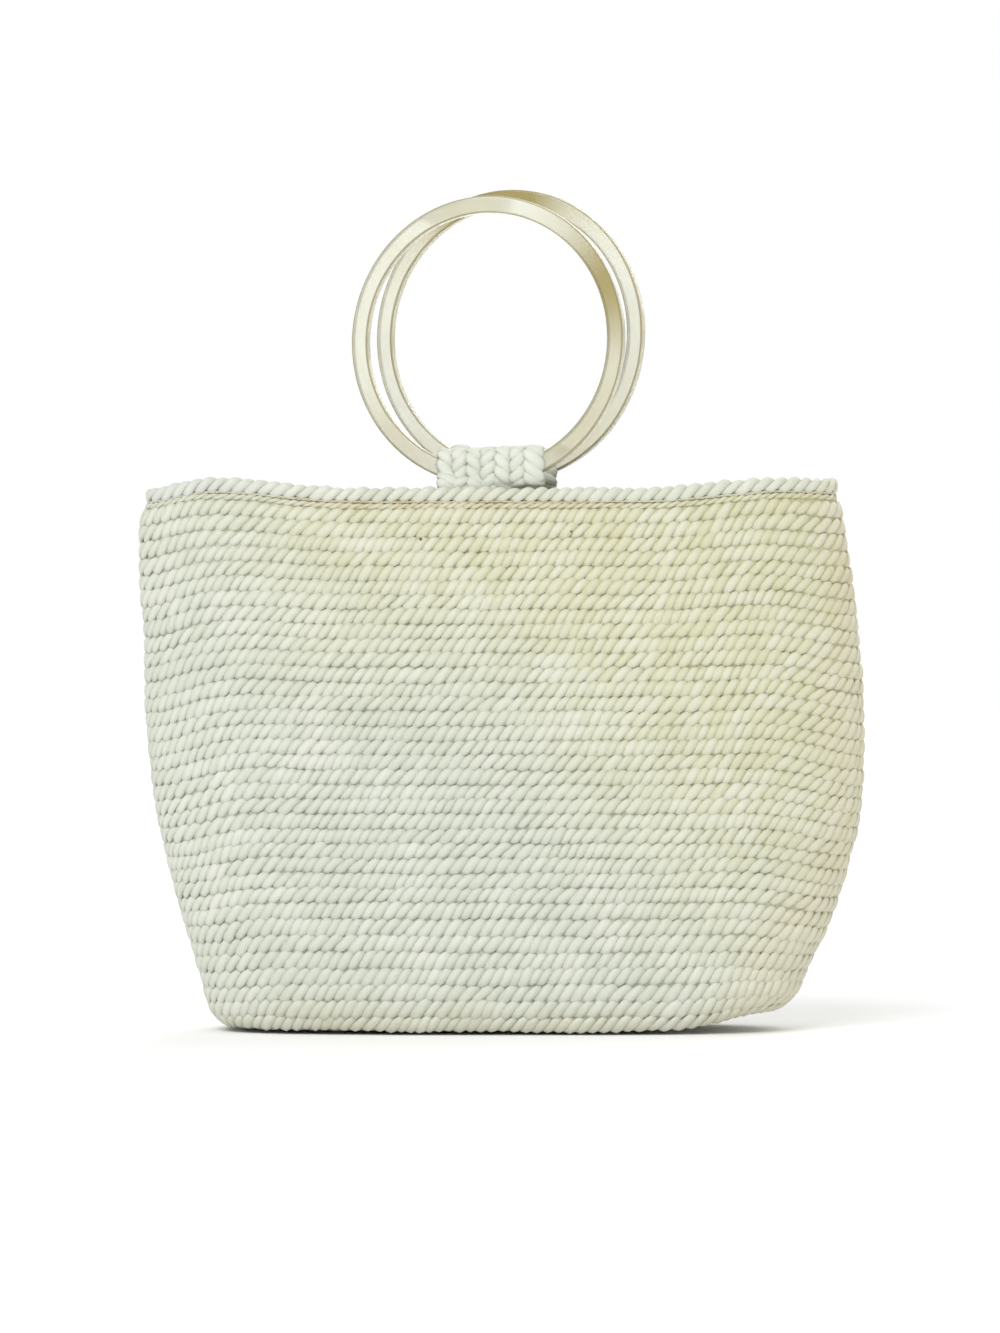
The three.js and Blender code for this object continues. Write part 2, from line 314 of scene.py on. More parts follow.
def gridFaces(rows, around, closeRows=False):
    # four-sided faces over rows of points, each row closed round
    count = rows if closeRows else rows - 1
    i, j = np.meshgrid(np.arange(count), np.arange(around), indexing="ij")
    below = i * around
    above = (i + 1) % rows * around
    nextJ = (j + 1) % around
    quad = np.stack([below + j, above + j, above + nextJ, below + nextJ], axis=-1)
    quad = quad.reshape(-1, 4)
    return quad.ravel().astype(np.int32), (np.arange(len(quad)) * 4).astype(np.int32)


class Nodes:
    # short way to add and join shader nodes
    def __init__(self, name):
        self.material = bpy.data.materials.new(name)
        self.material.use_nodes = True
        self.tree = self.material.node_tree
        self.shader = self.tree.nodes["Principled BSDF"]

    def add(self, kind, **values):
        node = self.tree.nodes.new(kind)
        for key, value in values.items():
            setattr(node, key, value)
        return node

    def join(self, source, target):
        self.tree.links.new(source, target)

    def place(self):
        return self.add("ShaderNodeTexCoord").outputs["Object"]

    def read(self, attribute, output):
        return self.add("ShaderNodeAttribute", attribute_name=attribute).outputs[output]

    def split(self, vector):
        node = self.add("ShaderNodeSeparateXYZ")
        self.join(vector, node.inputs[0])
        return node.outputs

    def times(self, a, b):
        return self.math("MULTIPLY", a, b)

    def math(self, how, a, b=None):
        node = self.add("ShaderNodeMath", operation=how)
        for socket, value in zip(node.inputs, (a, b)):
            if value is None:
                continue
            if isinstance(value, (int, float)):
                socket.default_value = value
            else:
                self.join(value, socket)
        return node.outputs[0]

    def ramp(self, value, low, high, toLow=0.0, toHigh=1.0):
        node = self.add("ShaderNodeMapRange", interpolation_type="SMOOTHSTEP")
        self.join(value, node.inputs["Value"])
        node.inputs["From Min"].default_value = low
        node.inputs["From Max"].default_value = high
        node.inputs["To Min"].default_value = toLow
        node.inputs["To Max"].default_value = toHigh
        return node.outputs["Result"]

    def blend(self, factor, a, b, how="MIX"):
        node = self.add("ShaderNodeMix", data_type="RGBA", blend_type=how)
        self.join(factor, node.inputs[0])
        for socket, value in ((node.inputs[6], a), (node.inputs[7], b)):
            if isinstance(value, tuple):
                socket.default_value = (*value, 1.0)
            else:
                self.join(value, socket)
        return node.outputs[2]

    def noise(self, vector, scale, detail, rough):
        node = self.add("ShaderNodeTexNoise")
        self.join(vector, node.inputs["Vector"])
        node.inputs["Scale"].default_value = scale
        node.inputs["Detail"].default_value = detail
        node.inputs["Roughness"].default_value = rough
        return node.outputs["Fac"]


# straw finish: a noise is scale, detail, roughness
# a ramp is from low, from high, to low, to high, in metres where it follows a place
strawLook = {
    "cool": (0.555, 0.59, 0.508),
    "cream": (0.58, 0.57, 0.362),
    "pale": (0.735, 0.745, 0.675),
    "tan": (0.635, 0.575, 0.405),
    # this tint darkens the fibre streaks and is also the painted shade on the strands' inward
    # sides
    "streakAndShadeTint": (0.80, 0.775, 0.66),
    "stain": (0.56, 0.44, 0.28),
    "whiter": 0.5,  # how much the palest grains stand out
    "stained": 0.38,
    "rough": 0.52,
    "smoother": 0.1,
    "rougher": 0.12,
    "shine": 0.5,
    "fibreBump": 0.5,
    "bumpDeep": 0.0005,
    "fibreStretch": (0.32, 3.4, 3.4),
    "fibreNoise": (1.6, 3.0, 0.6),
    "fibreRough": (0.3, 0.7),
    "streak": (0.35, 0.62, 0.0, 0.28),
    "patchNoise": (34.0, 2.0, 0.55),
    "blotchNoise": (9.0, 2.0, 0.5),
    "blotchShift": 0.16,
    "warmFrom": 0.15,
    "warmUp": 1.4,
    "warm": (-0.06, 0.23),
    "tint": (0.3, 0.7, 0.45, 1.0),
    "rightEdge": (0.0, 0.11, 0.118, 0.163),  # where the right end lies, from the foot up
    "rightPatch": 0.012,
    "rightTan": (-0.025, 0.003, 0.0, 0.5),
    "footPatch": 0.02,
    "footTan": (0.032, 0.01, 0.0, 0.35),
    "stainNoise": (70.0, 3.0, 0.6),
    "stainBreak": (0.38, 0.62),
    "stainFaint": 0.2,
    "stainFoot": (0.2365, 0.2405),
    "stainTop": (0.2475, 0.2425),
    "stainLeft": (-0.105, -0.085),
    "stainRight": (0.075, 0.03),
    "frontOnly": (0.0, -0.01),
    # painted highlight: the outward crowns of the strands are blended toward pale
    "crown": (0.35, 1.0, 0.0, 0.3),
    "crownPatch": (0.25, 0.65, 0.4, 1.0),
    # painted shade: the inward sides of the strands, in the crevices between them, are darkened
    "inwardShade": (0.1, -0.8, 0.0, 0.34),
    # painted shade: small dark spots for gaps under the tab
    "tabGapShadowTint": (0.06, 0.05, 0.04),
    "tabGapShadows": ((-0.0369, 0.2242, 0.0010), (0.0315, 0.2277, 0.0007)),  # across, up, size
    "pinCore": 0.5,
    "pinDark": 0.9,
}


def strawMaterial(name, look):
    # twisted straw: fibres along each strand, a tint for each grain
    n = Nodes(name)
    where = n.place()
    x, y, z = n.split(where)
    front = n.ramp(y, *look["frontOnly"])
    fibre = n.read("fibre", "Vector")
    turnedOut = n.split(fibre)[1]
    grain = n.read("grain", "Fac")
    stretch = n.add("ShaderNodeVectorMath", operation="MULTIPLY")
    n.join(fibre, stretch.inputs[0])
    stretch.inputs[1].default_value = look["fibreStretch"]
    lines = n.noise(stretch.outputs[0], *look["fibreNoise"])
    patches = n.noise(where, *look["patchNoise"])
    blotch = n.noise(where, *look["blotchNoise"])

    # grain tint over a slow drift from cool low left to yellow high right
    drift = n.math("ADD", x, n.times(blotch, look["blotchShift"]))
    higher = n.times(n.math("SUBTRACT", z, look["warmFrom"]), look["warmUp"])
    warm = n.ramp(n.math("ADD", drift, higher), *look["warm"])
    base = n.blend(warm, look["cool"], look["cream"])
    tint = n.times(grain, n.ramp(patches, *look["tint"]))
    base = n.blend(n.times(tint, look["whiter"]), base, look["pale"])

    # tan at the right end and the foot
    past = n.math("SUBTRACT", x, n.ramp(z, *look["rightEdge"]))
    past = n.math("ADD", past, n.times(patches, look["rightPatch"]))
    base = n.blend(n.ramp(past, *look["rightTan"]), base, look["tan"])
    low = n.math("ADD", z, n.times(patches, look["footPatch"]))
    base = n.blend(n.ramp(low, *look["footTan"]), base, look["tan"])

    # brown mark under the rim
    if look["stained"] > 0:
        band = n.times(n.ramp(z, *look["stainFoot"]), n.ramp(z, *look["stainTop"]))
        spread = n.times(n.ramp(x, *look["stainLeft"]), n.ramp(x, *look["stainRight"]))
        marks = n.times(n.times(band, spread), front)
        spots = n.noise(where, *look["stainNoise"])
        faint = look["stained"] * look["stainFaint"]
        marks = n.times(marks, n.ramp(spots, *look["stainBreak"], faint, look["stained"]))
        base = n.blend(marks, base, look["stain"])

    # fibre streaks, then a painted highlight on the strands' outward crowns and painted shade on
    # their inward sides
    base = n.blend(n.ramp(lines, *look["streak"]), base, look["streakAndShadeTint"], "MULTIPLY")
    # painted highlight on the strand crowns
    crown = n.times(n.ramp(turnedOut, *look["crown"]), n.ramp(patches, *look["crownPatch"]))
    base = n.blend(crown, base, look["pale"])
    # painted shade on the inward sides of the strands
    base = n.blend(n.ramp(turnedOut, *look["inwardShade"]), base, look["streakAndShadeTint"], "MULTIPLY")

    # painted shade: small dark spots in the front, under the tab, where small gaps fall in shade
    for gapX, gapZ, gapSize in look["tabGapShadows"]:
        offX = n.math("POWER", n.math("ABSOLUTE", n.math("SUBTRACT", x, gapX)), 2.0)
        offZ = n.math("POWER", n.math("ABSOLUTE", n.math("SUBTRACT", z, gapZ)), 2.0)
        off = n.math("SQRT", n.math("ADD", offX, offZ))
        near = n.ramp(off, gapSize, gapSize * look["pinCore"], 0.0, look["pinDark"])
        base = n.blend(n.times(near, front), base, look["tabGapShadowTint"])

    n.join(base, n.shader.inputs["Base Color"])
    n.shader.inputs["Specular IOR Level"].default_value = look["shine"]
    smooth = look["rough"] - look["smoother"]
    coarse = look["rough"] + look["rougher"]
    n.join(n.ramp(lines, *look["fibreRough"], smooth, coarse), n.shader.inputs["Roughness"])
    bump = n.add("ShaderNodeBump")
    bump.inputs["Strength"].default_value = look["fibreBump"]
    bump.inputs["Distance"].default_value = look["bumpDeep"]
    n.join(lines, bump.inputs["Height"])
    n.join(bump.outputs[0], n.shader.inputs["Normal"])
    return n.material


rimLook = {
    **strawLook,
    "cool": (0.56, 0.59, 0.57),
    "cream": (0.59, 0.615, 0.50),
    "whiter": 0.6,
    "stained": 0.1,
}
tabLook = {
    **strawLook,
    "cool": (0.605, 0.64, 0.575),
    "cream": (0.61, 0.64, 0.55),
    # lighter streaks and lighter painted shade on the tab's strands
    "streakAndShadeTint": (0.93, 0.92, 0.88),
    "whiter": 0.6,
    "stained": 0.0,
}
threadLook = {
    **strawLook,
    "cool": (0.61, 0.60, 0.49),
    "cream": (0.62, 0.58, 0.43),
    "whiter": 0.3,
    "stained": 0.85,
}
wallStraw = strawMaterial("wound_straw", strawLook)
rimStraw = strawMaterial("rim_straw", rimLook)
tabStraw = strawMaterial("tab_straw", tabLook)
threadStraw = strawMaterial("seam_straw", threadLook)
print("straw finishes made")

# wound wall: one rope from the foot to the seam, which steps up to the next row at the back
wallRope = {
    "strands": 2,
    "sides": 6,
    "lay": 10.2 * mm,
    "layDrift": 0.25,
    "coil": 1.56 * mm,
    "coilDrift": 0.16,
    "strand": 2.12 * mm,
    "strandDrift": 0.18,
    "squeezeOut": 0.78,
    "squeezeUp": 1.18,
    "knee": 2.4 * mm,  # crests are pressed flat past about this
    "hand": 1,  # -1 lays the strands the other way
    "step": 1.16 * mm,
    "ropeInset": 2.05,
    "stepUpAt": 0.92,
    "startTurn": 0.62 * math.pi,
    "unevenUp": 0.5,
    "unevenUpRun": 27 * mm,
    "unevenOut": 0.4,
    "unevenOutRun": 21 * mm,
    "pathPoints": 1601,
    "slopeOver": 0.6,
    "seed": 3,
}


def wallRows():
    form = bagForm
    edges = [r * form["lowerPitch"] for r in range(form["lowerRows"] + 1)]
    pitch = (rowsTop - edges[-1]) / form["upperRows"]
    low = edges[-1]
    edges += [low + pitch * (r + 1) for r in range(form["upperRows"])]
    return [(a + b) / 2 for a, b in zip(edges[:-1], edges[1:])]


def woundPath(spec):
    rows = wallRows()
    points, outs, swells, ends = [], [], [], [0]
    dense = np.linspace(0, 1, spec["pathPoints"])
    over = spec["slopeOver"]
    usual = rows[-1] - rows[-2]
    turn = spec["startTurn"] + dense * 2 * math.pi
    for r, height in enumerate(rows):
        rise = (rows[r + 1] - height) if r < len(rows) - 1 else 0.0
        swell = max(rise, usual) / usual
        h = height + rise * smoothStep(spec["stepUpAt"], 1.0, dense)
        line, (t, hh) = evenly(wallPoint(turn, h, 0.0), (turn, h), spec["step"] / mm)
        along = np.gradient(line, axis=0)
        up = wallPoint(t, hh + over, 0.0) - wallPoint(t, hh - over, 0.0)
        out = unit(np.cross(along, up))
        line = line - out * spec["ropeInset"]
        keep = len(line) - 1 if r < len(rows) - 1 else len(line)
        points.append(line[:keep])
        outs.append(out[:keep])
        swells.append(np.full(keep, swell))
        ends.append(ends[-1] + keep)
    path = np.concatenate(points) * mm
    out = np.concatenate(outs)
    length = lengthAlong(path)
    outWander = wander(length, spec["unevenOutRun"], spec["seed"] + 2)
    upWander = wander(length, spec["unevenUpRun"], spec["seed"] + 3)
    path = path + out * (outWander * spec["unevenOut"] * mm)[:, None]
    path[:, 2] += upWander * spec["unevenUp"] * mm
    return path, out, np.concatenate(swells), ends


wallPath, wallOut, wallSwell, rowEnds = woundPath(wallRope)
wallPressed = {**wallRope, "squeezeUp": wallRope["squeezeUp"] * wallSwell[:, None, None]}
wallGrids = twistRope(wallPath, wallOut, wallPressed, wallRope["seed"])
coilBands = {  # first row and row past the last
    "coil_foot": (0, 9),
    "coil_low": (9, 18),
    "coil_mid": (18, 27),
    "coil_high": (27, 35),
}
for bandName, (firstRow, lastRow) in coilBands.items():
    end = min(rowEnds[lastRow], len(wallPath) - 1)
    piece = ropePiece(bandName, cutGrids(wallGrids, rowEnds[firstRow], end), wallStraw)
    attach(piece, "bag")
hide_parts("bag_body")
print("wall wound:", round(float(lengthAlong(wallPath)[-1]), 2), "m of rope")

# floor: the same rope in ovals inside the first row
floorRope = {
    **wallRope,
    "step": 1.3 * mm,
    "rows": 5.9,
    "pitch": 6.7,
    "middle": 2.95,
    "fullBend": 0.9,
    "tuck": 1.15,
    "pathPoints": 1201,
    "seed": 13,
}


def floorPath(spec):
    dense = np.linspace(0, 1, spec["pathPoints"])
    firstRow = bagForm["lowerPitch"] / 2
    flat = bagForm["flatShare"]
    points = []
    count = int(math.ceil(spec["rows"]))
    for k in range(count):
        ring = np.minimum(1 + k + dense, spec["rows"])
        turn = spec["startTurn"] + dense * 2 * math.pi
        inset = spec["ropeInset"] + spec["pitch"] * ring
        line = wallPoint(turn, firstRow, inset)
        reach = np.abs(wallPoint(turn, firstRow, 0.0)[:, 0])
        share = 1 - inset / np.maximum(reach, inset + 1)
        rise = line[:, 2] - wallPoint(turn + math.pi, firstRow, 0.0)[:, 2]
        bent = np.clip((share - flat) / (spec["fullBend"] - flat), 0.0, 1.0)
        line[:, 2] = spec["middle"] + np.where(np.cos(turn) > 0, rise * bent * spec["tuck"], 0.0)
        points.append(line if k == count - 1 else line[:-1])
    line, _ = evenly(np.concatenate(points), (), spec["step"] / mm)
    out = np.zeros_like(line)
    out[:, 2] = -1.0
    return line * mm, out


floorLine, floorOut = floorPath(floorRope)
floorGrids = twistRope(floorLine, floorOut, floorRope, floorRope["seed"])
floorPiece = ropePiece("coil_floor", floorGrids, wallStraw)
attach(floorPiece, "bag")
print("floor wound")

# core: a sheet behind the rows that stands for their inner faces and closes the pinholes between
# them; it takes the painted shade of a strand's inward side, so the pinholes show dark
coreForm = {
    "inset": 2.0,
    "around": 120,
    "rows": 60,
    "low": 3.0,
    "high": bodyTop + 0.5,
    "turnedIn": -0.5,  # takes the painted shade of a strand's inward side
}
coreTurn = np.linspace(0, 2 * math.pi, coreForm["around"], endpoint=False)
coreHeights = np.linspace(coreForm["low"], coreForm["high"], coreForm["rows"])
coreRows = [wallPoint(coreTurn, h, coreForm["inset"]) for h in coreHeights]
coreVerts = np.concatenate(coreRows) * mm
coreLoops, coreStarts = gridFaces(coreForm["rows"], coreForm["around"])
coreFibre = np.zeros((len(coreVerts), 3))
coreFibre[:, 1] = coreForm["turnedIn"]
corePiece = meshPiece("coil_core", coreVerts, coreLoops, coreStarts, wallStraw,
                      fibre=coreFibre, grain=np.zeros(len(coreVerts)))
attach(corePiece, "bag")
print("core set behind the rows")

# rim: one thicker, whiter row laid on the seam
rimRope = {
    **wallRope,
    "sides": 8,
    "lay": 11.8 * mm,
    "layDrift": 0.16,
    "coil": 1.5 * mm,
    "strand": 2.02 * mm,
    "step": 1.0 * mm,
    "squeezeOut": 0.96,
    "squeezeUp": 1.08,
    "knee": 3.2 * mm,
    "inset": 2.6,
    "lift": 3.3,
    "seed": 41,
}


def rimPath(spec, lift, inset):
    dense = np.linspace(0, 1, spec["pathPoints"])
    turn = spec["startTurn"] + dense * 2 * math.pi
    line, (t,) = evenly(wallPoint(turn, bodyTop, inset), (turn,), spec["step"] / mm)
    near = wallPoint(t, bodyTop, inset - 1.0)
    out = near - line
    out[:, 2] = 0.0
    line[:, 2] += lift
    return line * mm, unit(out)


rimLine, rimOut = rimPath(rimRope, rimRope["lift"], rimRope["inset"])
rimGrids = twistRope(rimLine, rimOut, rimRope, rimRope["seed"])
rimPiece = ropePiece("rim_rope", rimGrids, rimStraw)
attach(rimPiece, "bag")
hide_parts("rim_coil")

# seam: thin cords drawn tight in the groove under the rim
seamCords = {
    "thread": {"lift": 0.15, "inset": 0.7, "radius": 0.62, "lay": 5.0},
    "thinRow": {"lift": -1.7, "inset": 0.0, "radius": 1.4, "lay": 8.5},
    "sides": 6,
    "coilShare": 0.42,
    "strandShare": 0.64,
    "squeezeOut": 0.85,
    "squeezeUp": 1.05,
    "waver": 0.28,
    "waverRun": 16 * mm,
    "seed": 61,
}
for k, (cordName, cordStraw) in enumerate((("thread", threadStraw), ("thinRow", wallStraw))):
    cordForm = seamCords[cordName]
    radius = cordForm["radius"]
    cord = {
        **rimRope,
        "sides": seamCords["sides"],
        "lay": cordForm["lay"] * mm,
        "coil": radius * seamCords["coilShare"] * mm,
        "strand": radius * seamCords["strandShare"] * mm,
        "squeezeOut": seamCords["squeezeOut"],
        "squeezeUp": seamCords["squeezeUp"],
    }
    line, out = rimPath(cord, cordForm["lift"], cordForm["inset"] + radius)
    waver = wander(lengthAlong(line), seamCords["waverRun"], seamCords["seed"] + k)
    line[:, 2] += waver * seamCords["waver"] * mm
    seamGrids = twistRope(line, out, cord, seamCords["seed"] + 20 + k)
    seamPiece = ropePiece("seam_" + cordName, seamGrids, cordStraw)
    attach(seamPiece, "bag")
print("rim and seam laid")

# ring handles, and the tabs that hold them
handleForm = {
    "ringBand": 7.8,
    "ringDeep": 5.0,
    "ringEdge": 1.1,
    "segments": 192,
    "cornerSteps": 5,
    "sideCurve": 1.5,
    "front": {
        "face": -1,
        "ringOuter": 66.0,
        "ringTurn": math.radians(20),
        "ringX": -6.6,
        "ringY": -16.6,
        "ringZ": 315.3,
        "tabX": -5.2,
        "hug": 0.0,  # how far the tab's roll follows the ring's curve
        "gold": ((0.95, 23, 27), (0.4, -42, 25), (0.3, -132, 25)),  # share, degrees round, spread
    },
    "back": {
        "face": 1,
        "ringOuter": 67.5,
        "ringTurn": math.radians(24.5),
        "ringX": 3.6,
        "ringY": 16.6,
        "ringZ": 319.6,
        "tabX": 0.8,
        "hug": 1.0,
        "gold": ((1.4, 97, 30), (0.25, -45, 30)),
    },
}
ringLook = {
    "face": (0.92, 0.925, 0.825),
    "cloud": (0.87, 0.86, 0.72),
    "gold": (0.45, 0.38, 0.145),
    "wall": (0.84, 0.81, 0.62),
    # painted shade: dark lines along the round edges, where refraction shows them dark
    "refractionShadeLine": (0.29, 0.255, 0.135),
    "clear": 0.62,
    "lineClear": 0.15,
    "rough": 0.08,
    "bend": 1.49,
    "cloudNoise": (26.0, 3.0, 0.5),
    "cloudSpan": (0.35, 0.7),
    "wallSpan": (0.2, 1.0),
    "refractionShadeSpan": (0.02, 0.22, 0.0, 0.9),
    "hazeNoise": (160.0, 2.0, 0.5),
    "hazeSpan": (0.3, 0.7),
    "hazeLeast": 0.6,
    "hazeMost": 1.5,
}


def ringMaterial(look):
    # cast acrylic: clear through the faces, yellower through the walls,
    # with painted shade as dark lines along the round edges, where refraction shows them dark
    n = Nodes("clear_acrylic")
    where = n.place()
    side = n.read("grain", "Fac")  # 0 on a face, 1 on a wall
    cloud = n.noise(where, *look["cloudNoise"])
    base = n.blend(n.ramp(cloud, *look["cloudSpan"]), look["face"], look["cloud"])
    goldenTint = n.split(n.read("fibre", "Vector"))[0]
    base = n.blend(goldenTint, base, look["gold"])
    base = n.blend(n.ramp(side, *look["wallSpan"]), base, look["wall"])
    # painted shade: dark lines along the round edges, which also let less light through
    edge = n.times(side, n.math("SUBTRACT", 1.0, side))
    edge = n.ramp(edge, *look["refractionShadeSpan"])
    base = n.blend(edge, base, look["refractionShadeLine"])
    n.join(base, n.shader.inputs["Base Color"])
    clear = n.ramp(edge, 0.0, 1.0, look["clear"], look["lineClear"])
    n.join(clear, n.shader.inputs["Transmission Weight"])
    n.shader.inputs["IOR"].default_value = look["bend"]
    haze = n.noise(where, *look["hazeNoise"])
    least = look["rough"] * look["hazeLeast"]
    most = look["rough"] * look["hazeMost"]
    n.join(n.ramp(haze, *look["hazeSpan"], least, most), n.shader.inputs["Roughness"])
    return n.material


def ringPiece(name, form, place, material):
    outer = place["ringOuter"]
    inner = outer - form["ringBand"]
    half = form["ringDeep"] / 2
    edge = form["ringEdge"]
    corners = ((inner + edge, -half + edge, 180), (outer - edge, -half + edge, 270),
               (outer - edge, half - edge, 0), (inner + edge, half - edge, 90))
    section, side = [], []
    for cr, cq, start in corners:
        for s in range(form["cornerSteps"] + 1):
            a = math.radians(start + 90 * s / form["cornerSteps"])
            section.append((cr + edge * math.cos(a), cq + edge * math.sin(a)))
            side.append(abs(math.cos(a)) ** form["sideCurve"])
    section = np.array(section)
    angle = np.arange(form["segments"]) / form["segments"] * 2 * math.pi
    r = section[None, :, 0]
    q = section[None, :, 1]
    along = r * np.cos(angle)[:, None]
    turn = place["ringTurn"]
    x = place["ringX"] + along * math.cos(turn) + q * math.sin(turn)
    y = place["ringY"] - along * math.sin(turn) + q * math.cos(turn)
    z = place["ringZ"] + r * np.sin(angle)[:, None]
    verts = np.stack([x, y, z], axis=-1).reshape(-1, 3) * mm
    loops, starts = gridFaces(len(angle), len(section), closeRows=True)
    loops = loops.reshape(-1, 4)[:, ::-1].ravel()
    golden = np.zeros(len(angle))
    for share, middle, spread in place["gold"]:  # where the ring shows a golden tint
        off = (np.degrees(angle) - middle + 180) % 360 - 180
        golden += share * np.exp(-(off / spread) ** 2)
    fibre = np.zeros((len(verts), 3))
    fibre[:, 0] = np.repeat(golden, len(section))
    return meshPiece(name, verts, np.ascontiguousarray(loops), starts, material,
                     fibre=fibre, grain=np.tile(np.array(side), len(angle)))


tabRope = {
    **wallRope,
    "columns": 7,
    "width": 46.0,
    "strap": 3.4,
    "legLength": 24.0,
    "sides": 8,
    "lay": 11.4 * mm,
    "layDrift": 0.015,
    "coil": 1.26 * mm,
    "coilDrift": 0.06,
    "strand": 2.45 * mm,
    "strandDrift": 0.06,
    "squeezeOut": 0.47,
    "squeezeUp": 1.38,
    "knee": 6.0 * mm,
    "step": 0.9 * mm,
    "linePoints": 400,
    "smoothOver": 23,
    "seed": 83,
    "bend": {  # where a column turns, in millimetres; backSlope is a share
        "slotSlack": 0.2,
        "legRaise": 1.0,
        "legUp": 8,
        "neckRise": 1.4,
        "neckUnder": 5,
        "neckIn": 0.5,
        "stepOut": 1.2,
        "slotUnder": 1,
        "sideFrom": 3.2,
        "sideTo": 2.5,
        "shoulderIn": 0.9,
        "shoulderUp": 0.4,
        "topIn": 3.2,
        "crown": 0.2,
        "backUnder": 1.5,
        "backDrop": 3,
        "backLeast": 3.0,
        "backSlope": 0.6,
        "backLegUp": 4,
    },
}


def tabColumn(form, place, spec, x):
    # middle line of one rope column: up the near leg, over the ring's foot, down the other leg
    bend = spec["bend"]
    turn = place["ringTurn"]
    inner = place["ringOuter"] - form["ringBand"]
    slack = bagForm["fitGap"] + bend["slotSlack"]
    sweep = form["ringDeep"] / 2 * math.tan(turn)
    slotHalf = (form["ringDeep"] / 2 + bagForm["fitGap"]) / math.cos(turn)
    face = place["face"]
    rimTop = bagForm["rimHeight"] - bagForm["rimSag"]
    legFoot = rimTop - spec["legLength"] + bend["legRaise"]
    mouth = float(readTable(bagForm["profile"], "depth", bodyTop))
    legFront = mouth - bagForm["ropeThick"] - bagForm["fitGap"]
    left = place["tabX"] - spec["width"] / 2
    right = place["tabX"] + spec["width"] / 2

    def ringInside(at):
        reach = abs(at - place["ringX"]) / math.cos(turn) + sweep
        return place["ringZ"] - math.sqrt(inner ** 2 - reach ** 2)

    share = (x - left) / spec["width"]
    straight = ringInside(left) * (1 - share) + ringInside(right) * share
    slotTop = straight + (ringInside(x) - straight) * place["hug"] + slack
    reach = max(0.0, abs(x - place["ringX"]) / math.cos(turn) - sweep)
    slotFoot = place["ringZ"] - math.sqrt(place["ringOuter"] ** 2 - reach ** 2) - slack
    mid = abs(place["ringY"]) - face * (x - place["ringX"]) * math.tan(turn)
    half = spec["strap"] / 2
    near = legFront - half
    far = legFront - spec["strap"] * 1.5
    neck = rimTop + bend["neckRise"]
    outer = mid + slotHalf + half
    innerSide = mid - slotHalf - half
    stepOut = bend["stepOut"]
    shoulder = slotTop + bend["shoulderUp"]
    sideFoot = slotFoot + bend["sideFrom"]
    sideTop = slotTop - bend["sideTo"]
    backFall = max(bend["backLeast"], abs(far - innerSide) * bend["backSlope"])
    points = np.array([  # distance from the bag's middle, height
        (near, legFoot),
        (near, legFoot + bend["legUp"]),
        (near, neck - bend["neckUnder"]),
        (near, neck - bend["neckIn"]),
        (max(near, outer - stepOut), max(slotFoot - bend["slotUnder"], neck + stepOut)),
        (outer, sideFoot),
        (outer, sideTop),
        (outer - bend["shoulderIn"], shoulder),
        (outer - bend["topIn"], slotTop + half),
        (mid, slotTop + half + bend["crown"]),
        (innerSide + bend["topIn"], slotTop + half),
        (innerSide + bend["shoulderIn"], shoulder),
        (innerSide, sideTop),
        (innerSide, sideFoot),
        (innerSide + stepOut, slotFoot - bend["backUnder"]),
        (far, slotFoot - bend["backDrop"] - backFall),
        (far, legFoot + bend["backLegUp"]),
        (far, legFoot),
    ])
    knots = lengthAlong(points)
    at = np.linspace(0, knots[-1], spec["linePoints"])
    line = np.stack([np.interp(at, knots, points[:, k]) for k in range(2)], axis=-1)
    kernel = np.hanning(spec["smoothOver"])
    kernel /= kernel.sum()
    pad = spec["smoothOver"] // 2
    padded = np.pad(line, ((pad, pad), (0, 0)), mode="edge")
    line = np.stack([np.convolve(padded[:, k], kernel, mode="valid") for k in range(2)], axis=-1)
    column = np.stack([np.full(len(line), x), face * line[:, 0], line[:, 1]], axis=-1)
    column, _ = evenly(column, (), spec["step"] / mm)
    tangent = unit(np.gradient(column, axis=0))
    out = face * np.cross(tangent, np.array([1.0, 0.0, 0.0]))
    return column * mm, out


clearAcrylic = ringMaterial(ringLook)
for sideName, ringBody in (("front", "front_ring"), ("back", "back_ring")):
    place = handleForm[sideName]
    ring = ringPiece("handle_" + sideName, handleForm, place, clearAcrylic)
    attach(ring, ringBody)
    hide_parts("ring_" + sideName)
    columns = []
    for c in range(tabRope["columns"]):
        x = place["tabX"] + tabRope["width"] * ((c + 0.5) / tabRope["columns"] - 0.5)
        line, out = tabColumn(handleForm, place, tabRope, x)
        spec = {**tabRope, "hand": 1 if c % 2 == 0 else -1, "start": (c % 2) * math.pi / 2}
        columns += twistRope(line, out, spec, tabRope["seed"] + 5 * c)
    tab = ropePiece("tab_ropes_" + sideName, columns, tabStraw)
    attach(tab, "bag")
    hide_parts("tab_" + sideName)
print("rings and tabs made")

# studio: pale floor, soft daylight, long lens level with the bag
studio = {
    "floorColor": (0.95, 0.95, 0.945),
    "floorPaler": 0.03,
    "floorNoise": (3.0, 2.0, 0.5),
    "floorRough": 0.9,
    "floorReach": 14.0,
    "floorDrop": 0.0004,
    "skySeen": 1.0,
    "skyForLight": 0.69,
    "key": {"strength": 1.62, "soft": math.radians(42), "from": (-0.6, -1.2, 1.15)},
    "fill": {"strength": 1.0, "soft": math.radians(65), "from": (0.75, 1.2, 1.2)},
    "cameraAway": 2.4,
    "cameraHeight": 0.1664,
    "cameraSide": -0.0009,
    "cameraSees": 60.0,
    "sensor": 36.0,
    "pixelSize": 0.00046,
    "photoTall": 1333,  # pixels
}


def softLamp(name, spec):
    sun = bpy.data.lights.new(name, "SUN")
    sun.energy = spec["strength"]
    sun.angle = spec["soft"]
    lamp = bpy.data.objects.new(name, sun)
    bpy.context.scene.collection.objects.link(lamp)
    fromX, fromY, fromZ = spec["from"]
    flat = math.hypot(fromX, fromY)
    lamp.rotation_euler = (math.atan2(flat, fromZ), 0.0, math.atan2(fromX, -fromY))
    lamp.location = (fromX, fromY, fromZ)


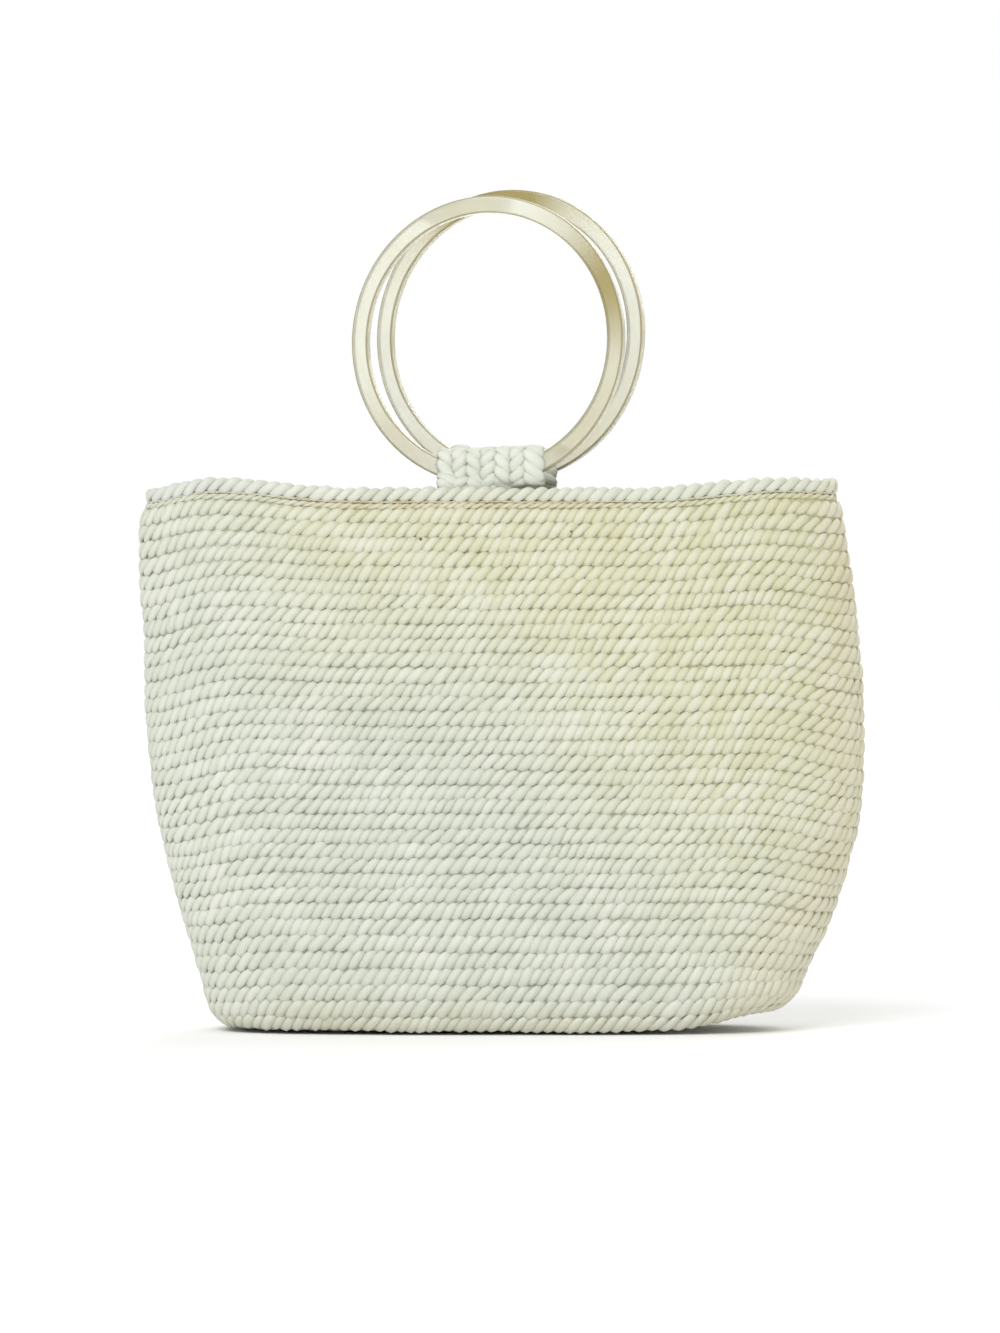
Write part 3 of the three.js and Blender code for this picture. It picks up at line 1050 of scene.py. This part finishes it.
def makeStudio(s):
    n = Nodes("pale_floor")
    mottled = n.noise(n.place(), *s["floorNoise"])
    paler = tuple(min(1.0, c + s["floorPaler"]) for c in s["floorColor"])
    n.join(n.blend(mottled, s["floorColor"], paler), n.shader.inputs["Base Color"])
    n.shader.inputs["Roughness"].default_value = s["floorRough"]
    reach = s["floorReach"]
    corners = ((-reach, -reach), (reach, -reach), (reach, reach), (-reach, reach))
    verts = np.array([(x, y, -s["floorDrop"]) for x, y in corners])
    loops = np.arange(4, dtype=np.int32)
    floor = meshPiece("studio_floor", verts, loops, np.zeros(1, np.int32), n.material)

    # the sky is white to the eye and through the rings, and dimmer as light
    world = bpy.data.worlds.new("soft_sky")
    bpy.context.scene.world = world
    world.use_nodes = True
    tree = world.node_tree
    sky = tree.nodes["Background"]
    sky.inputs["Color"].default_value = (1.0, 1.0, 1.0, 1.0)
    path = tree.nodes.new("ShaderNodeLightPath")
    seen = tree.nodes.new("ShaderNodeMath")
    seen.operation = "MAXIMUM"
    tree.links.new(path.outputs["Is Camera Ray"], seen.inputs[0])
    tree.links.new(path.outputs["Is Transmission Ray"], seen.inputs[1])
    level = tree.nodes.new("ShaderNodeMapRange")
    tree.links.new(seen.outputs[0], level.inputs["Value"])
    level.inputs["To Min"].default_value = s["skyForLight"]
    level.inputs["To Max"].default_value = s["skySeen"]
    tree.links.new(level.outputs["Result"], sky.inputs["Strength"])

    softLamp("soft_key", s["key"])
    softLamp("soft_fill", s["fill"])

    lens = bpy.data.cameras.new("photo_camera")
    lens.sensor_width = s["sensor"]
    lens.lens = s["sensor"] * s["cameraAway"] / (s["photoTall"] * s["pixelSize"])
    lens.clip_end = s["cameraSees"]
    camera = bpy.data.objects.new("photo_camera", lens)
    camera.location = (s["cameraSide"], -s["cameraAway"], s["cameraHeight"])
    camera.rotation_euler = (math.radians(90), 0.0, 0.0)
    bpy.context.scene.collection.objects.link(camera)
    bpy.context.scene.camera = camera
    bpy.context.scene.view_settings.view_transform = "Standard"
    bpy.context.scene.view_settings.look = "None"


makeStudio(studio)
print("studio set")
